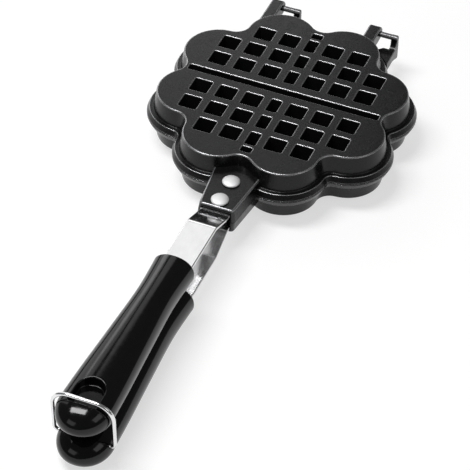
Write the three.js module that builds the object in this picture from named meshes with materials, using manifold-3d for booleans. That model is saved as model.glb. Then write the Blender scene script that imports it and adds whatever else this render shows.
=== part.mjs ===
import * as THREE from 'three';
import { mergeVertices } from 'three/addons/utils/BufferGeometryUtils.js';
import Module from 'manifold-3d';

const wasm = await Module();
wasm.setup();

// Stovetop waffle iron, in millimetres with Z up and the handles towards -Y.
// Both halves are drawn about the parting plane, z = 0, and the whole is lifted at the end.

// Fits between pieces, and the length by which a cut runs past the face that it opens
const seatGap = 0.3;
const overrun = 2;

// Outline of the plates: eight round lobes joined by hollow notches
const lobeCount = 8;
const tipRadius = 72.2;
const lobeRadius = 20.7;
const notchRadius = 8.6;
const halfLobe = Math.PI / lobeCount;
const lobeCentre = tipRadius - lobeRadius;
const lobeSide = lobeCentre * Math.sin(halfLobe);
const notchCentre = lobeCentre * Math.cos(halfLobe)
  + Math.sqrt((lobeRadius + notchRadius) ** 2 - lobeSide ** 2);

// Section of one plate
const halfHeight = 15.2;
const edgeRounding = 1.2;
const wallDraft = 1.5;
const wallThickness = 2.6;
const baseThickness = 2.6;
const cavityDraft = 1.6;

// Flange round each plate: a ledge, a flared skirt and a plain lip at the parting plane
const ledgeReach = 2.6;
const skirtReach = 1.4;
const flangeHeight = 4;
const lipHeight = 0.9;

// Baking pattern: hollow pegs, seen from outside as pockets, on both sides of a divider
const pocketPitch = 15.7;
const pocketSize = 11;
const narrowWidth = 6.6;
const firstColumn = 13.5;
const firstRow = 13.7;
const endPocketRow = 55;
const endPocketLength = 4.5;
const rimLand = 3;
const pegWall = 1.25;
const pegTipThickness = 2;
const pegGap = 3.8;
const pegDraftShare = 0.2;
const dividerWidth = 4.6;
const dividerLand = 2.36;
const dividerLength = 2 * (notchCentre - notchRadius - dividerLand);
const dividerWall = 1.3;
const dividerTipThickness = 2;
const dividerGap = 1.5;
const dividerDraftShare = 0.12;

// Tang cast with each plate, a channel over the flat steel shank
const tangRootDepth = 14.2;
const tangRoot = tipRadius - tangRootDepth;
const tangLength = 40;
const tangEnd = tangRoot + tangLength;
const tangRootWidth = 29.8;
const tangEndWidth = 20;
const tangHeight = 8;
const tangSkin = 2.4;
const tangDraft = 1;
const tangRounding = 1;
const channelInset = 12;
const channelStart = tangRoot + channelInset;

// Shanks of bent strip
const shankWidth = 17.2;
const shankThickness = 2;
const bendClearance = 3;
const shankBendStart = tangEnd + bendClearance;
const bendLength = 16.5;
const shankBendEnd = shankBendStart + bendLength;
const shankBendRadius = 6;
const shankInsertion = 72;

// Rivets through tang and shank
const rivetPitch = 16.1;
const rivetInset = 5.4;
const rivetPlaces = [tangEnd - rivetInset - rivetPitch, tangEnd - rivetInset];
const rivetHeadRadius = 5;
const rivetHeadHeight = 2;
const rivetRim = 0.5;
const rivetShaftRadius = 2.3;
const rivetTailRadius = 3.9;
const rivetTailHeight = 0.75;

// Grips
const shankShown = 36.9;
const gripFront = shankBendEnd + shankShown;
const gripLength = 127;
const gripOffset = 10.8;
const frontWidth = 23.5;
const waistWidth = 21.6;
const middleWidth = 24.7;
const palmWidth = 28.4;
const endWidth = 30;
const frontHeight = 19.8;
const endHeight = 19.4;
const domeLength = 17;
const gripRounding = 1.2;
const gripRoundness = 2.2;
const widthStationShares = [0, 0.23, 0.52, 0.81, 1];

// Screw that holds each grip on its shank
const gripScrewInset = 45.6;
const gripScrewPlace = gripFront + gripScrewInset;
const screwHeadRadius = 3;
const screwRim = 0.4;
const screwShaftRadius = 1.5;
const screwCone = 1.5;
const screwLength = 15;

// Wire bail that holds the grips shut, and the thumb scoop in front of its bar
const wireRadius = 1.1;
const bailClearance = 0.6;
const bailPivotInset = 14.7;
const bailPivotPlace = gripFront + gripLength - bailPivotInset;
const bailPivotRise = 3;
const bailLean = 1.4;
const bailCornerRadius = 7;
const bailEyeRadius = 2.5;
const bailHold = 7;
const scoopWidth = 15;
const scoopLength = 17.5;
const scoopDepth = 5.6;

// Hinges at the two far lobes: a lug on the upper half turns on a hooked arm of the lower half
const hingeOutset = 11.29;
const hingePlaces = [-lobeSide - hingeOutset, lobeSide + hingeOutset];
const hingeStandoff = 9.8;
const hingeReach = tipRadius + hingeStandoff;
const hingeHeight = 7.5;
const hingeRootDepth = 16.2;
const hingeRoot = tipRadius - hingeRootDepth;
const lugStart = -8.4;
const lugWidth = 7.6;
const knuckleRadius = 4.1;
const lugRounding = 0.8;
const hookRadius = 1.7;
const armEnd = 10.4;
const armThickness = 4;
const armDepth = 3.6;
const armFillet = 4;
const heelDrop = 7.7;
const heelRounding = 1.2;
const earStart = -1;
const earSetback = 4;
const earReach = hingeReach - earSetback;
const earHeight = 1.6;
const earDepth = 4;
const earCorner = 4;
const lidClearance = 0.6;

// Fineness of round forms
const lobeSteps = 10;
const notchSteps = 4;
const boreSides = 16;
const turnSides = 16;
const gripSides = 24;
const gripStations = 9;
const domeSteps = 5;
const arcSteps = 5;
const bailSteps = 64;

const seam = seatGap / 2;
const flangeEdge = wallDraft + ledgeReach + skirtReach;

const coated = new THREE.MeshStandardMaterial({ color: 0x2b2c2e, roughness: 0.45, metalness: 0.2 });
const bakelite = new THREE.MeshStandardMaterial({ color: 0x0c0c0d, roughness: 0.18, metalness: 0 });
const steel = new THREE.MeshStandardMaterial({ color: 0xd6d8da, roughness: 0.25, metalness: 1 });
const aluminium = new THREE.MeshStandardMaterial({ color: 0xe2e3e4, roughness: 0.3, metalness: 1 });

// A closed geometry as a solid that can be joined and cut
function toSolid(geometry) {
  const bare = geometry.clone();
  bare.deleteAttribute('normal');
  bare.deleteAttribute('uv');
  const merged = mergeVertices(bare);
  return new wasm.Manifold(new wasm.Mesh({
    numProp: 3,
    vertProperties: new Float32Array(merged.attributes.position.array),
    triVerts: new Uint32Array(merged.index.array),
  }));
}

function toGeometry(solid) {
  const { vertProperties, triVerts } = solid.getMesh();
  const geometry = new THREE.BufferGeometry();
  geometry.setAttribute('position', new THREE.BufferAttribute(new Float32Array(vertProperties), 3));
  geometry.setIndex(new THREE.BufferAttribute(new Uint32Array(triVerts), 1));
  geometry.computeVertexNormals();
  return geometry;
}

// A copy reflected in the parting plane
function mirrored(geometry) {
  const copy = geometry.clone().scale(1, 1, -1);
  const index = copy.index.array;
  for (let i = 0; i < index.length; i += 3) {
    [index[i], index[i + 1]] = [index[i + 1], index[i]];
  }
  copy.computeVertexNormals();
  return copy;
}

function centroid(ring) {
  const sum = ring.reduce((total, point) => total.add(point), new THREE.Vector3());
  return sum.divideScalar(ring.length);
}

// A closed skin over rings of equal count, ended by fans to the points given or to the ring centres
function loft(rings, startTip = centroid(rings[0]), endTip = centroid(rings[rings.length - 1])) {
  const count = rings[0].length;
  const points = [...rings.flat(), startTip, endTip];
  const startIndex = points.length - 2;
  const endIndex = points.length - 1;
  const index = [];
  for (let i = 0; i < count; i += 1) {
    const next = (i + 1) % count;
    for (let level = 0; level < rings.length - 1; level += 1) {
      const low = level * count;
      const high = low + count;
      index.push(low + i, low + next, high + next);
      index.push(low + i, high + next, high + i);
    }
    const last = (rings.length - 1) * count;
    index.push(startIndex, next, i);
    index.push(endIndex, last + i, last + next);
  }
  const geometry = new THREE.BufferGeometry().setFromPoints(points);
  geometry.setIndex(index);
  return geometry;
}

// The plates' outline, moved outwards by an offset, at a height
function flowerRing(offset, z) {
  const lobe = lobeRadius + offset;
  const notch = notchRadius - offset;
  const notchX = notchCentre * Math.cos(halfLobe);
  const notchY = notchCentre * Math.sin(halfLobe);
  const swing = Math.atan2(notchY, notchX - lobeCentre);
  const notchFrom = swing + Math.PI;
  const notchTo = 2 * (halfLobe + Math.PI) - notchFrom;
  const ring = [];
  for (let lobeIndex = 0; lobeIndex < lobeCount; lobeIndex += 1) {
    const turn = halfLobe + 2 * halfLobe * lobeIndex;
    const place = (x, y) => ring.push(new THREE.Vector3(
      x * Math.cos(turn) - y * Math.sin(turn),
      x * Math.sin(turn) + y * Math.cos(turn),
      z,
    ));
    for (let step = 0; step < lobeSteps; step += 1) {
      const angle = THREE.MathUtils.lerp(-swing, swing, step / lobeSteps);
      place(lobeCentre + lobe * Math.cos(angle), lobe * Math.sin(angle));
    }
    for (let step = 0; step < notchSteps; step += 1) {
      const angle = THREE.MathUtils.lerp(notchFrom, notchTo, step / notchSteps);
      place(notchX + notch * Math.cos(angle), notchY + notch * Math.sin(angle));
    }
  }
  return ring;
}

function rectangleRing(x, y, halfX, halfY, z) {
  return [[-halfX, -halfY], [halfX, -halfY], [halfX, halfY], [-halfX, halfY]]
    .map(([dx, dy]) => new THREE.Vector3(x + dx, y + dy, z));
}

// Whether a point lies inside the outline moved by an offset, by counting the sides to its right
function insideOutline(x, y, offset) {
  const ring = flowerRing(offset, 0);
  const crossed = ring.filter((point, i) => {
    const next = ring[(i + 1) % ring.length];
    const share = (y - point.y) / (next.y - point.y);
    return (point.y > y) !== (next.y > y) && x < point.x + share * (next.x - point.x);
  });
  return crossed.length % 2 === 1;
}

// Pockets in rows along x on both sides of the divider, as far as they leave a land at the rim
function pocketPlaces() {
  const halfRow = [];
  for (let y = firstRow; y < tipRadius; y += pocketPitch) {
    halfRow.push({ x: 0, y, width: narrowWidth, length: pocketSize });
    for (let x = firstColumn; x < tipRadius; x += pocketPitch) {
      halfRow.push({ x, y, width: pocketSize, length: pocketSize });
      halfRow.push({ x: -x, y, width: pocketSize, length: pocketSize });
    }
  }
  halfRow.push({ x: 0, y: endPocketRow, width: narrowWidth, length: endPocketLength });
  const fitting = halfRow.filter(({ x, y, width, length }) => (
    [y - length / 2, y + length / 2].every((edge) => (
      insideOutline(Math.abs(x) + width / 2, edge, -rimLand)
    ))
  ));
  return fitting.flatMap((place) => [place, { ...place, y: -place.y }]);
}

// A tapering block that narrows away from the plate's outer face, between two heights
function taper(place, draftShare, grow, low, high) {
  const ringAt = (z) => {
    const narrowing = (halfHeight - z) * draftShare;
    const halfX = place.width / 2 + grow - narrowing;
    const halfY = place.length / 2 + grow - narrowing;
    return rectangleRing(place.x, place.y, halfX, halfY, z);
  };
  return toSolid(loft([ringAt(low), ringAt(high)]));
}

function box(width, length, height, x, y, z) {
  return toSolid(new THREE.BoxGeometry(width, length, height).translate(x, y, z));
}

function uprightBore(radius, x, y, low, high) {
  const bore = new THREE.CylinderGeometry(radius, radius, high - low, boreSides);
  return toSolid(bore.rotateX(Math.PI / 2).translate(x, y, (low + high) / 2));
}

function crossBar(radius, left, right, y, z) {
  const bar = new THREE.CylinderGeometry(radius, radius, right - left, boreSides);
  return bar.rotateZ(Math.PI / 2).translate((left + right) / 2, y, z);
}

// A side view, drawn with y to the right and z up, given a width along x
function sideExtrusion(shape, width, x) {
  const geometry = new THREE.ExtrudeGeometry(shape, {
    depth: width,
    bevelEnabled: false,
    curveSegments: arcSteps,
  });
  const basis = new THREE.Matrix4().makeBasis(
    new THREE.Vector3(0, 1, 0),
    new THREE.Vector3(0, 0, 1),
    new THREE.Vector3(1, 0, 0),
  );
  return geometry.applyMatrix4(basis).translate(x, 0, 0);
}

// Rings of a side view, one for each place asked for along x
function sideRing(shape) {
  const points = shape.getPoints(arcSteps);
  return (x) => points.map((point) => new THREE.Vector3(x, point.x, point.y));
}

function turned(profile) {
  const points = profile.map(([radius, z]) => new THREE.Vector2(radius, z));
  return new THREE.LatheGeometry(points, turnSides).rotateX(Math.PI / 2);
}

// Tang: a tapering block with drafted sides, later hollowed by the channel
function tangBlock() {
  const ringAt = (grow, z) => {
    const rootX = tangRootWidth / 2 + grow;
    const endX = tangEndWidth / 2 + grow;
    const endY = tangEnd + grow;
    const outline = [
      [-rootX, -tangRoot],
      [-endX, -endY + tangRounding],
      [-endX + tangRounding, -endY],
      [endX - tangRounding, -endY],
      [endX, -endY + tangRounding],
      [rootX, -tangRoot],
    ];
    return outline.map(([x, y]) => new THREE.Vector3(x, y, z));
  };
  return toSolid(loft([
    ringAt(tangDraft, seam),
    ringAt(0, tangHeight - tangRounding),
    ringAt(-tangRounding, tangHeight),
  ]));
}

// One cast half above the parting plane, with its hinge parts joined before it is hollowed
function castHalf(hingeParts) {
  let body = toSolid(loft([
    flowerRing(flangeEdge, seam),
    flowerRing(flangeEdge, lipHeight),
    flowerRing(flangeEdge - skirtReach, flangeHeight),
    flowerRing(wallDraft, flangeHeight),
    flowerRing(0, halfHeight - edgeRounding),
    flowerRing(-edgeRounding, halfHeight),
  ]));
  body = body.add(tangBlock());
  hingeParts.forEach((part) => {
    body = body.add(part);
  });

  const base = halfHeight - baseThickness;
  const cavityMouth = wallDraft - wallThickness;
  let hollow = toSolid(loft([
    flowerRing(cavityMouth, -overrun),
    flowerRing(cavityMouth, seam),
    flowerRing(cavityMouth - cavityDraft, base),
  ]));
  const pegs = pocketPlaces();
  pegs.forEach((place) => {
    hollow = hollow.subtract(taper(place, pegDraftShare, pegWall, pegGap, base + overrun));
  });
  const divider = { x: 0, y: 0, width: dividerLength, length: dividerWidth };
  const rib = { ...divider, width: 2 * tipRadius };
  hollow = hollow.subtract(taper(rib, dividerDraftShare, dividerWall, dividerGap, base + overrun));
  body = body.subtract(hollow);

  const pocketFloor = pegGap + pegTipThickness;
  pegs.forEach((place) => {
    body = body.subtract(taper(place, pegDraftShare, 0, pocketFloor, halfHeight + overrun));
  });
  const grooveFloor = dividerGap + dividerTipThickness;
  body = body.subtract(taper(divider, dividerDraftShare, 0, grooveFloor, halfHeight + overrun));

  const channelWidth = shankWidth + 2 * seatGap;
  const channelLength = tangEnd + tangDraft + overrun - channelStart;
  const channelTop = tangHeight - tangSkin;
  body = body.subtract(box(
    channelWidth,
    channelLength,
    channelTop + overrun,
    0,
    -channelStart - channelLength / 2,
    (channelTop - overrun) / 2,
  ));
  rivetPlaces.forEach((place) => {
    const bore = uprightBore(rivetShaftRadius + seatGap, 0, -place, 0, tangHeight + overrun);
    body = body.subtract(bore);
  });
  return body;
}

// Upper lug: a flat-topped block with a round knuckle about the hinge axis
function lug(place) {
  const profile = (inset) => {
    const radius = knuckleRadius - inset;
    const shape = new THREE.Shape();
    shape.moveTo(hingeRoot, hingeHeight - radius);
    shape.lineTo(hingeReach, hingeHeight - radius);
    shape.absarc(hingeReach, hingeHeight, radius, -Math.PI / 2, Math.PI / 2);
    shape.lineTo(hingeRoot, hingeHeight + radius);
    return sideRing(shape);
  };
  const left = place + lugStart;
  const right = left + lugWidth;
  return toSolid(loft([
    profile(lugRounding)(left),
    profile(0)(left + lugRounding),
    profile(0)(right - lugRounding),
    profile(lugRounding)(right),
  ]));
}

// Lower arm: a beam beside the ear with a heel below, turned up to the hinge axis
function arm(place) {
  const front = hingeReach - armDepth / 2;
  const back = hingeReach + armDepth / 2;
  const shape = new THREE.Shape();
  shape.moveTo(hingeRoot, -seam);
  shape.lineTo(hingeRoot, -earDepth);
  shape.lineTo(earReach - armFillet, -earDepth);
  shape.lineTo(back - heelRounding, -heelDrop);
  shape.lineTo(back, -heelDrop + heelRounding);
  shape.absarc(hingeReach, hingeHeight, armDepth / 2, 0, Math.PI);
  shape.absarc(front - armFillet, earHeight + armFillet, armFillet, 0, -Math.PI / 2, true);
  shape.lineTo(hingeRoot, earHeight);
  return toSolid(sideExtrusion(shape, armThickness, place + armEnd - armThickness));
}

// Ear: a flat shelf of the lower half under the gap between lug and arm
function ear(place) {
  const left = place + earStart;
  const right = place + armEnd;
  const shape = new THREE.Shape();
  shape.moveTo(left, hingeRoot);
  shape.lineTo(right, hingeRoot);
  shape.lineTo(right, earReach);
  shape.lineTo(left + earCorner, earReach);
  shape.lineTo(left, earReach - earCorner);
  const geometry = new THREE.ExtrudeGeometry(shape, {
    depth: earDepth + earHeight,
    bevelEnabled: false,
  });
  return toSolid(geometry.translate(0, 0, -earDepth));
}

// Hook: a round bar cast with the arm, which reaches through the lug
function hook(place) {
  const left = place + lugStart;
  const right = place + armEnd - armThickness / 2;
  return toSolid(crossBar(hookRadius, left, right, hingeReach, hingeHeight));
}

// Room for the closed lid's flange above the parting plane
function lidRoom() {
  const outline = flangeEdge + lidClearance;
  return toSolid(loft([
    flowerRing(outline, -seam),
    flowerRing(outline, halfHeight),
  ]));
}

// A solid reflected in the parting plane
function reflectedSolid(solid) {
  return toSolid(mirrored(toGeometry(solid)));
}

function upperPlate() {
  let body = castHalf(hingePlaces.map(lug));
  hingePlaces.forEach((place) => {
    const left = place + lugStart - overrun;
    const right = left + lugWidth + 2 * overrun;
    const bore = crossBar(hookRadius + seatGap, left, right, hingeReach, hingeHeight);
    body = body.subtract(toSolid(bore));
  });
  return toGeometry(body);
}

function lowerPlate() {
  const room = lidRoom();
  const parts = hingePlaces.flatMap((place) => [
    arm(place).subtract(room),
    ear(place).subtract(room),
    hook(place),
  ]);
  return toGeometry(reflectedSolid(castHalf(parts.map(reflectedSolid))));
}

// Points of a bent strip's two faces, from the corners of its centre line
function stripOutline(corners, radius, thickness) {
  const upper = [];
  const lower = [];
  const place = (point, angle) => {
    const normal = new THREE.Vector2(-Math.sin(angle), Math.cos(angle)).multiplyScalar(thickness / 2);
    upper.push(point.clone().add(normal));
    lower.push(point.clone().sub(normal));
  };
  const headings = corners.slice(1).map((corner, i) => corner.clone().sub(corners[i]).angle());
  place(corners[0], headings[0]);
  for (let i = 1; i < corners.length - 1; i += 1) {
    const turn = THREE.MathUtils.euclideanModulo(
      headings[i] - headings[i - 1] + Math.PI,
      2 * Math.PI,
    ) - Math.PI;
    const side = Math.sign(turn);
    const setback = radius * Math.tan(Math.abs(turn) / 2);
    const along = new THREE.Vector2(Math.cos(headings[i - 1]), Math.sin(headings[i - 1]));
    const across = new THREE.Vector2(-along.y, along.x).multiplyScalar(side * radius);
    const centre = corners[i].clone().addScaledVector(along, -setback).add(across);
    for (let step = 0; step <= arcSteps; step += 1) {
      const heading = headings[i - 1] + (turn * step) / arcSteps;
      const outward = new THREE.Vector2(Math.sin(heading), -Math.cos(heading));
      place(centre.clone().addScaledVector(outward, side * radius), heading);
    }
  }
  place(corners[corners.length - 1], headings[headings.length - 1]);
  return [...upper, ...lower.reverse()];
}

const shankLevel = tangHeight - tangSkin - seatGap - shankThickness / 2;
const shankStart = channelStart + seatGap;
const shankEnd = gripFront + shankInsertion;

function shank() {
  const corners = [
    new THREE.Vector2(-shankStart, shankLevel),
    new THREE.Vector2(-shankBendStart, shankLevel),
    new THREE.Vector2(-shankBendEnd, gripOffset),
    new THREE.Vector2(-shankEnd, gripOffset),
  ];
  const shape = new THREE.Shape(stripOutline(corners, shankBendRadius, shankThickness));
  let strip = toSolid(sideExtrusion(shape, shankWidth, -shankWidth / 2));
  const top = gripOffset + shankThickness;
  rivetPlaces.forEach((place) => {
    strip = strip.subtract(uprightBore(rivetShaftRadius + seatGap, 0, -place, 0, top));
  });
  strip = strip.subtract(uprightBore(screwShaftRadius + seatGap, 0, -gripScrewPlace, 0, top));
  return toGeometry(strip);
}

function rivet(place) {
  const headBase = tangHeight + seatGap;
  const tailTop = shankLevel - shankThickness / 2 - seatGap;
  const domeRise = rivetHeadHeight - rivetRim;
  const dome = [];
  for (let step = 0; step < arcSteps; step += 1) {
    const angle = (step / arcSteps) * (Math.PI / 2);
    dome.push([rivetHeadRadius * Math.cos(angle), headBase + rivetRim + domeRise * Math.sin(angle)]);
  }
  return turned([
    [0, tailTop - rivetTailHeight],
    [rivetTailRadius, tailTop - rivetTailHeight],
    [rivetTailRadius, tailTop],
    [rivetShaftRadius, tailTop],
    [rivetShaftRadius, headBase],
    [rivetHeadRadius, headBase],
    ...dome,
    [0, headBase + rivetHeadHeight],
  ]).translate(0, -place, 0);
}

const gripEnd = gripFront + gripLength;
const domeStart = gripEnd - domeLength;

// Half height of a grip's crown at a distance from the plate's centre
function crownHeight(place) {
  const bodyShare = THREE.MathUtils.clamp((place - gripFront) / (domeStart - gripFront), 0, 1);
  const height = THREE.MathUtils.lerp(frontHeight, endHeight, bodyShare) / 2;
  const inDome = THREE.MathUtils.clamp((place - domeStart) / domeLength, 0, 1);
  return height * Math.sqrt(1 - inDome * inDome);
}

function gripRing(place, halfWidth, halfThickness, z) {
  const ring = [];
  for (let i = 0; i < gripSides; i += 1) {
    const angle = (i / gripSides) * 2 * Math.PI;
    const swell = (value) => Math.sign(value) * Math.abs(value) ** (2 / gripRoundness);
    ring.push(new THREE.Vector3(
      halfWidth * swell(Math.cos(angle)),
      -place,
      z + halfThickness * swell(Math.sin(angle)),
    ));
  }
  return ring;
}

// A grip about its axis at height z, with its front face open for the shank
function gripBody(z) {
  const widths = [frontWidth, waistWidth, middleWidth, palmWidth, endWidth];
  const plan = new THREE.SplineCurve(widths.map((width, i) => new THREE.Vector2(
    THREE.MathUtils.lerp(gripFront, domeStart, widthStationShares[i]),
    width / 2,
  )));
  const frontHalf = frontHeight / 2 - gripRounding;
  const rings = [gripRing(gripFront, frontWidth / 2 - gripRounding, frontHalf, z)];
  for (let station = 0; station <= gripStations; station += 1) {
    const point = plan.getPoint(station / gripStations);
    const place = station === 0 ? point.x + gripRounding : point.x;
    rings.push(gripRing(place, point.y, crownHeight(place), z));
  }
  for (let step = 1; step < domeSteps; step += 1) {
    const angle = (step / domeSteps) * (Math.PI / 2);
    const place = domeStart + domeLength * Math.sin(angle);
    rings.push(gripRing(place, (endWidth / 2) * Math.cos(angle), crownHeight(place), z));
  }
  const frontTip = new THREE.Vector3(0, -gripFront, z);
  const domeTip = new THREE.Vector3(0, -gripEnd, z);
  return toSolid(loft(rings, frontTip, domeTip));
}

const screwFace = gripOffset - crownHeight(gripScrewPlace) + seatGap;

// Half section of the grip screw, grown by a clearance
function screwProfile(grow, headFace) {
  const head = screwHeadRadius + grow;
  const shaft = screwShaftRadius + grow;
  const rim = screwFace + screwRim;
  return [
    [0, headFace],
    [head, headFace],
    [head, rim],
    [shaft, rim + screwCone],
    [shaft, screwFace + screwLength],
    [0, screwFace + screwLength + grow],
  ];
}

function gripScrew() {
  return turned(screwProfile(0, screwFace)).translate(0, -gripScrewPlace, 0);
}

// A grip above the parting plane with its slot and screw hole
function slottedGrip() {
  const slotLength = shankInsertion + seatGap + overrun;
  const slot = box(
    shankWidth + 2 * seatGap,
    slotLength,
    shankThickness + 2 * seatGap,
    0,
    -gripFront + overrun - slotLength / 2,
    gripOffset,
  );
  const hole = turned(screwProfile(seatGap, screwFace - overrun)).translate(0, -gripScrewPlace, 0);
  return gripBody(gripOffset).subtract(slot).subtract(toSolid(hole));
}

const bailBarPlace = bailPivotPlace + bailLean;
const scoopWall = bailBarPlace + wireRadius / 2;
const bailPivotHeight = bailPivotRise - gripOffset;
const bailBarHeight = gripOffset + crownHeight(scoopWall) + seatGap + wireRadius;
const bailLegPlace = endWidth / 2 + bailClearance + wireRadius;

// Thumb scoop: a pocket with a round front and a straight wall under the bail's bar
function scoop() {
  const radius = scoopWidth / 2;
  const centre = -scoopWall + scoopLength - radius;
  const shape = new THREE.Shape();
  shape.moveTo(-radius, -scoopWall);
  shape.lineTo(radius, -scoopWall);
  shape.absarc(0, centre, radius, 0, Math.PI);
  const crown = gripOffset + endHeight / 2;
  const geometry = new THREE.ExtrudeGeometry(shape, {
    depth: scoopDepth + overrun,
    bevelEnabled: false,
    curveSegments: lobeSteps,
  });
  return toSolid(geometry.translate(0, 0, crown - scoopDepth));
}

function upperGrip() {
  return toGeometry(slottedGrip().subtract(scoop()));
}

function lowerGrip() {
  let body = reflectedSolid(slottedGrip());
  const holeRadius = wireRadius + seatGap;
  const holeEnd = bailLegPlace - bailHold - seatGap;
  for (const side of [-1, 1]) {
    const [left, right] = [side * holeEnd, side * (bailLegPlace + overrun)].sort((a, b) => a - b);
    const hole = crossBar(holeRadius, left, right, -bailPivotPlace, bailPivotHeight);
    body = body.subtract(toSolid(hole));
  }
  return toGeometry(body);
}

// The bail's centre line: eye, leg, bar, leg, eye, all in one leaning plane
function bailPath() {
  const pivot = new THREE.Vector3(0, -bailPivotPlace, bailPivotHeight);
  const bar = new THREE.Vector3(0, -bailBarPlace, bailBarHeight);
  const corners = [
    [bailHold - bailLegPlace, 0, 0],
    [-bailLegPlace, 0, bailEyeRadius],
    [-bailLegPlace, 1, bailCornerRadius],
    [bailLegPlace, 1, bailCornerRadius],
    [bailLegPlace, 0, bailEyeRadius],
    [bailLegPlace - bailHold, 0, 0],
  ].map(([x, share, radius]) => {
    const point = pivot.clone().lerp(bar, share);
    point.x = x;
    return { point, radius };
  });
  const path = new THREE.CurvePath();
  let from = corners[0].point;
  for (let i = 1; i < corners.length - 1; i += 1) {
    const { point, radius } = corners[i];
    const back = corners[i - 1].point.clone().sub(point).setLength(radius);
    const ahead = corners[i + 1].point.clone().sub(point).setLength(radius);
    const start = point.clone().add(back);
    const end = point.clone().add(ahead);
    path.add(new THREE.LineCurve3(from, start));
    path.add(quarterTurn(start, point, end));
    from = end;
  }
  path.add(new THREE.LineCurve3(from, corners[corners.length - 1].point));
  return path;
}

// A round corner from start to end about the square corner given
function quarterTurn(start, corner, end) {
  const circleShare = (4 / 3) * (Math.SQRT2 - 1);
  return new THREE.CubicBezierCurve3(
    start,
    start.clone().lerp(corner, circleShare),
    end.clone().lerp(corner, circleShare),
    end,
  );
}

function bail() {
  const section = new THREE.Shape().absarc(0, 0, wireRadius, 0, 2 * Math.PI);
  return new THREE.ExtrudeGeometry(section, {
    steps: bailSteps,
    extrudePath: bailPath(),
    curveSegments: arcSteps - 1,
  });
}

const iron = new THREE.Group();

function add(name, geometry, material) {
  const mesh = new THREE.Mesh(geometry, material.clone());
  mesh.name = name;
  iron.add(mesh);
}

add('upper_plate', upperPlate(), coated);
add('lower_plate', lowerPlate(), coated);

const strip = shank();
add('upper_shank', strip, steel);
add('lower_shank', mirrored(strip), steel);
rivetPlaces.forEach((place, i) => {
  const rivetGeometry = mergeVertices(rivet(place));
  add(`upper_rivet_${i + 1}`, rivetGeometry, aluminium);
  add(`lower_rivet_${i + 1}`, mirrored(rivetGeometry), aluminium);
});

const screw = mergeVertices(gripScrew());
add('upper_grip', upperGrip(), bakelite);
add('lower_grip', lowerGrip(), bakelite);
add('upper_grip_screw', screw, steel);
add('lower_grip_screw', mirrored(screw), steel);
add('wire_bail', bail(), steel);

// The origin is on the lower plate's outer face, in the middle of the land beside its divider groove
const landCentre = (dividerWidth / 2 + firstRow - pocketSize / 2) / 2;
iron.position.set(0, -landCentre, halfHeight);

export default iron;
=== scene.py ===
import math
import bmesh
import bpy
from mathutils import Matrix, Vector


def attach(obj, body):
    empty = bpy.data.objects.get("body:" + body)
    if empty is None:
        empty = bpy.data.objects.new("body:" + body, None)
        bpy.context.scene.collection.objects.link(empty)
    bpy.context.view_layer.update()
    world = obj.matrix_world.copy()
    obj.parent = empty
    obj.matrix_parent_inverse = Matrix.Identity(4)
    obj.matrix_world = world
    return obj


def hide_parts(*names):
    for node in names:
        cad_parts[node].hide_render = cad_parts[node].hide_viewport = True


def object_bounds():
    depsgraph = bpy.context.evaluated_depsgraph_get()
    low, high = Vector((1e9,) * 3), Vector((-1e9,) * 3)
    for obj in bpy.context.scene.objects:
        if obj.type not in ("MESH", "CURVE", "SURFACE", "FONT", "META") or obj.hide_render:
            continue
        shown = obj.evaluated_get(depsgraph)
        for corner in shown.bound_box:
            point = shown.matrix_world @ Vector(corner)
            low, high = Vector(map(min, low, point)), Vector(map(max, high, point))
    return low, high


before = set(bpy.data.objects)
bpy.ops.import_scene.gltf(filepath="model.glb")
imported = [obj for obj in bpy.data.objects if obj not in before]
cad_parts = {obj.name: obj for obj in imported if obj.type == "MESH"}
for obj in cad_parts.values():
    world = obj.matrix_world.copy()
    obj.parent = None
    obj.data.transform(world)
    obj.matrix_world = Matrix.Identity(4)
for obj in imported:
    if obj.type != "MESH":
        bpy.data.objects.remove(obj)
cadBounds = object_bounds()
scene = bpy.context.scene
scene.view_settings.view_transform = "Standard"

# Stovetop waffle iron. Both halves are drawn in millimetres about the parting plane, z = 0,
# with the flower's centre at x = y = 0, and are then set into the frame in metres.
drawing = {
    "landCentre": 5.25,
    "halfHeight": 15.2,
    "clearance": 0.3,  # between a piece and its seat or bore
    "hairline": 0.01,  # keeps two faces or corners apart
    "overrun": 2,  # of a cutter past the face that it cuts
    "metresPerUnit": 0.001,
    "mergeWithin": 2e-6,  # metres
    "dissolveWithin": 1e-6,
    "sharpAngle": 36,
    "sides": 32,  # of a round body that has no count of its own
    "cornerSteps": 5,  # in a rounded corner that has no count of its own
    "rimSteps": 4,
}
clearance, hairline, overrun = drawing["clearance"], drawing["hairline"], drawing["overrun"]

# the photograph's camera, fitted to the corners of the pockets
view = {
    "lens": 179.0,
    "sensorWidth": 36,
    "clipStart": 0.02,
    "azimuth": 21.52,
    "elevation": 42.95,
    "roll": 1.43,
    "location": (0.3556, -0.9758, 0.8794),
}


def addCamera():
    data = bpy.data.cameras.new("photoCamera")
    data.lens = view["lens"]
    data.sensor_width = view["sensorWidth"]
    data.clip_start = view["clipStart"]
    camera = bpy.data.objects.new("photoCamera", data)
    scene.collection.objects.link(camera)
    turn = (
        Matrix.Rotation(math.radians(view["azimuth"]), 4, "Z")
        @ Matrix.Rotation(math.radians(90 - view["elevation"]), 4, "X")
        @ Matrix.Rotation(math.radians(view["roll"]), 4, "Z")
    )
    camera.matrix_world = Matrix.Translation(view["location"]) @ turn
    scene.camera = camera


addCamera()
print("camera set")


def newPiece(name, points, faces):
    mesh = bpy.data.meshes.new(name)
    mesh.from_pydata([tuple(point) for point in points], [], faces)
    piece = bpy.data.objects.new(name, mesh)
    scene.collection.objects.link(piece)
    turnOutward(piece)
    return piece


def turnOutward(piece):
    shape = bmesh.new()
    shape.from_mesh(piece.data)
    bmesh.ops.recalc_face_normals(shape, faces=shape.faces)
    shape.to_mesh(piece.data)
    shape.free()


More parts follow.
